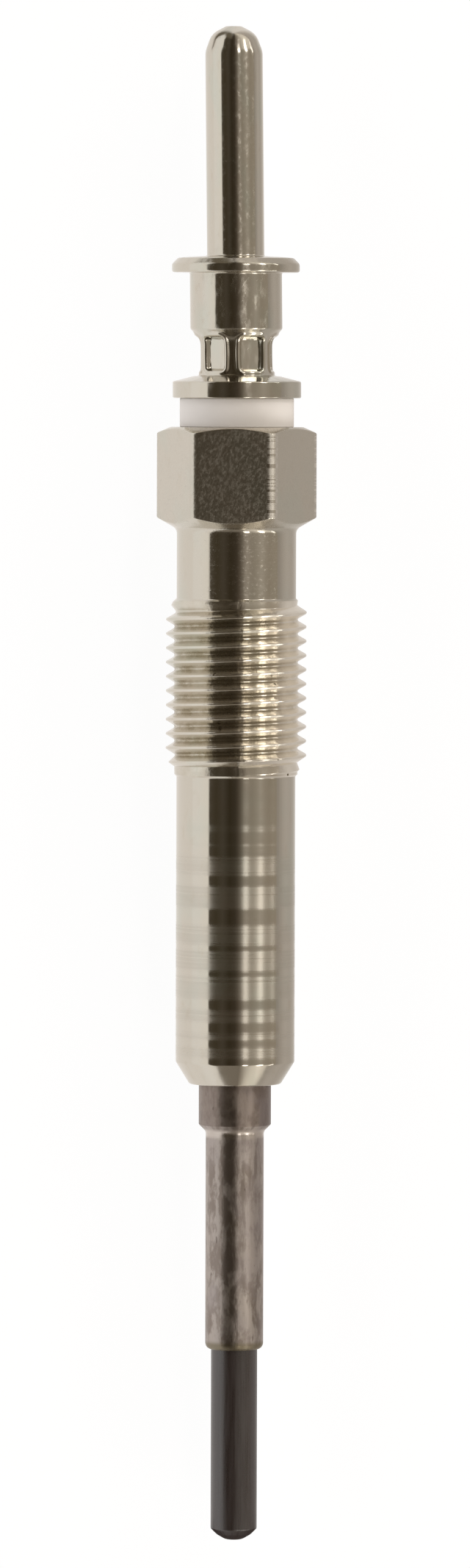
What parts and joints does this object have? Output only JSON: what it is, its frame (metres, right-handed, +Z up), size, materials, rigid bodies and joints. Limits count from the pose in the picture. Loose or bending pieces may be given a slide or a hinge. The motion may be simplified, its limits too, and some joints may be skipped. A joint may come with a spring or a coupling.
{
  "type": "diesel glow plug",
  "caption": "Diesel glow plug with a ceramic heater tip, stepped sleeve, plated screw-in body with hexagon and cone seat, white insulating bush and a plug-in pin terminal, lying on its side.",
  "frame": {"origin": "on the surface the plug lies on, under the middle of its length", "axes": "+Y along the plug's axis towards the terminal, +Z up through the middle of a flat of the hexagon"},
  "size_m": [0.0112, 0.1062, 0.0099],
  "materials": {
    "terminal_nickel": "bright nickel plate on turned steel",
    "bush_white": "matt white moulding",
    "housing_nickel": "nickel plate on machined steel",
    "sleeve_steel": "heat-tinted, satin, mottled",
    "heater_ceramic": "ground dark grey ceramic, satin",
    "seal_rubber": "matt black rubber",
    "rod_steel": "plain drawn steel",
    "contact_steel": "plain turned steel",
    "element_ceramic": "matt conductive ceramic",
    "lead_metal": "drawn tungsten wire"
  },
  "bodies": {
    "root": {"pin_terminal": "terminal_nickel", "insulating_bush": "bush_white", "housing": "housing_nickel", "heater_sleeve": "sleeve_steel", "ceramic_heater": "heater_ceramic", "seal_ring": "seal_rubber", "centre_rod": "rod_steel", "contact_ring": "contact_steel", "heating_element": "element_ceramic", "live_lead": "lead_metal", "ground_lead": "lead_metal"}
  },
  "joints": []
}
